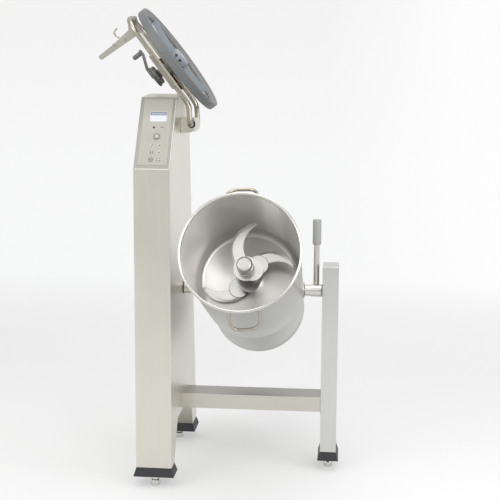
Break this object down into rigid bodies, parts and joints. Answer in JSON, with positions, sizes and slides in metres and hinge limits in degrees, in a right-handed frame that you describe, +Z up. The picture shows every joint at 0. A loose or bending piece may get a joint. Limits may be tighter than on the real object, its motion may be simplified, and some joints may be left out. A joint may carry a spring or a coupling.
{
  "type": "cutter mixer",
  "caption": "Floor-standing vertical cutter mixer: a tilting stainless bowl with crescent blades on its own motor, a hinged clear lid with hand-cranked wiper and a slim control column.",
  "frame": {"origin": "on the floor, at the middle of the bounding box's base", "axes": "+Z up from the floor, -Y to the operator's side with the control panel, +X from the control column to the right leg"},
  "size_m": [0.9411, 0.9416, 1.7785],
  "materials": {
    "column_steel": "satin stainless sheet",
    "stand_steel": "satin stainless tube",
    "bowl_steel": "brushed stainless",
    "housing_steel": "brushed stainless",
    "bright_steel": "polished stainless",
    "blade_steel": "ground stainless",
    "inner_steel": "plain steel",
    "cast_metal": "as cast, painted",
    "hinge_metal": "satin",
    "bronze": "plain",
    "black_plastic": "satin black",
    "lid_plastic": "satin grey",
    "wiper_plastic": "blue grey",
    "clear_plastic": "clear",
    "black_rubber": "matte",
    "gasket_rubber": "matte",
    "keypad_film": "satin film",
    "key_film": "satin film",
    "stop_red": "gloss",
    "display_dark": "gloss",
    "drive_case": "plain",
    "board_green": "lacquered"
  },
  "bodies": {
    "frame": {"column_shell": "column_steel", "keypad_membrane": "keypad_film", "display_window": "display_dark", "rear_cover": "column_steel", "cover_screws": "bright_steel", "cable_gland": "black_plastic", "control_board": "board_green", "motor_drive": "drive_case", "leg_pads": "black_rubber", "levelling_feet": "bright_steel", "cross_beam": "stand_steel", "right_leg": "stand_steel", "right_leg_cap": "stand_steel", "trunnion_bearings": "black_plastic", "bearing_blocks": "cast_metal", "brake_lining": "black_rubber", "hinge_block": "hinge_metal", "hinge_bushes": "black_plastic"},
    "stop_button": {"stop_button": "stop_red"},
    "mixing_key": {"mixing_key": "key_film"},
    "program_key": {"program_key": "key_film"},
    "pulse_key": {"pulse_key": "key_film"},
    "timer_key": {"timer_key": "key_film"},
    "slower_key": {"slower_key": "key_film"},
    "faster_key": {"faster_key": "key_film"},
    "bowl": {"motor_housing": "housing_steel", "motor_cover": "housing_steel", "motor_flange": "cast_metal", "motor_casing": "cast_metal", "stator": "inner_steel", "motor_bearings": "bright_steel", "shaft_seal": "black_rubber", "trunnions": "bright_steel", "brake_disc": "inner_steel", "tilt_lever": "bright_steel", "lever_grip": "black_plastic", "bowl": "bowl_steel", "bowl_handles": "bright_steel"},
    "rotor": {"motor_shaft": "bright_steel", "rotor_core": "inner_steel", "blade_hub": "bright_steel", "lower_blade": "blade_steel", "middle_blade": "blade_steel", "upper_blade": "blade_steel", "blade_spacers": "black_plastic", "blade_knob": "black_plastic"},
    "lid": {"lid_arm": "bright_steel", "saddle_plate": "hinge_metal", "lid_bush": "black_plastic", "lid_nuts": "black_plastic", "lid_pane": "clear_plastic", "lid_ring": "lid_plastic", "lid_gasket": "gasket_rubber"},
    "wiper": {"crank_hub": "black_plastic", "crank_arm": "hinge_metal", "wiper_axle": "bright_steel", "wiper": "wiper_plastic"},
    "crank_grip": {"crank_grip": "black_plastic"},
    "latch": {"latch_lever": "hinge_metal", "latch_hook": "bright_steel"}
  },
  "joints": [
    {"name": "bowl_tilt", "type": "hinge", "parent": "frame", "child": "bowl", "pos_m": [0.1275, 0.095, 0.705], "axis": [-1, 0, 0], "range_deg": [-45, 64.6]},
    {"name": "blade_spin", "type": "hinge", "parent": "bowl", "child": "rotor", "pos_m": [0.1275, 0.095, 0.705], "axis": [0, -0.9033, 0.4289], "continuous": true},
    {"name": "lid_swing", "type": "hinge", "parent": "frame", "child": "lid", "pos_m": [-0.1035, 0.095, 1.343], "axis": [0, 1, 0], "range_deg": [0, 126.6]},
    {"name": "wiper_turn", "type": "hinge", "parent": "lid", "child": "wiper", "pos_m": [-0.24123, 0.095, 1.52845], "axis": [-0.8028, 0, -0.5962], "range_deg": [-120, 120]},
    {"name": "crank_grip_turn", "type": "hinge", "parent": "wiper", "child": "crank_grip", "pos_m": [-0.31929, 0.095, 1.60002], "axis": [-0.8028, 0, -0.5962], "continuous": true},
    {"name": "latch_swing", "type": "hinge", "parent": "lid", "child": "latch", "pos_m": [-0.34088, 0.095, 1.72972], "axis": [0, 1, 0], "range_deg": [0, 160]},
    {"name": "stop_press", "type": "slide", "parent": "frame", "child": "stop_button", "axis": [0, 0.8607, -0.5091], "range_m": [0, 0.003], "stiffness_N_per_m": 1500, "springref_m": -0.001},
    {"name": "mixing_key_press", "type": "slide", "parent": "frame", "child": "mixing_key", "axis": [0, 0.8607, -0.5091], "range_m": [0, 0.0004], "stiffness_N_per_m": 4000, "springref_m": -0.0002},
    {"name": "program_key_press", "type": "slide", "parent": "frame", "child": "program_key", "axis": [0, 0.8607, -0.5091], "range_m": [0, 0.0004], "stiffness_N_per_m": 4000, "springref_m": -0.0002},
    {"name": "pulse_key_press", "type": "slide", "parent": "frame", "child": "pulse_key", "axis": [0, 0.8607, -0.5091], "range_m": [0, 0.0004], "stiffness_N_per_m": 4000, "springref_m": -0.0002},
    {"name": "timer_key_press", "type": "slide", "parent": "frame", "child": "timer_key", "axis": [0, 0.8607, -0.5091], "range_m": [0, 0.0004], "stiffness_N_per_m": 4000, "springref_m": -0.0002},
    {"name": "slower_key_press", "type": "slide", "parent": "frame", "child": "slower_key", "axis": [0, 0.8607, -0.5091], "range_m": [0, 0.0004], "stiffness_N_per_m": 4000, "springref_m": -0.0002},
    {"name": "faster_key_press", "type": "slide", "parent": "frame", "child": "faster_key", "axis": [0, 0.8607, -0.5091], "range_m": [0, 0.0004], "stiffness_N_per_m": 4000, "springref_m": -0.0002}
  ]
}
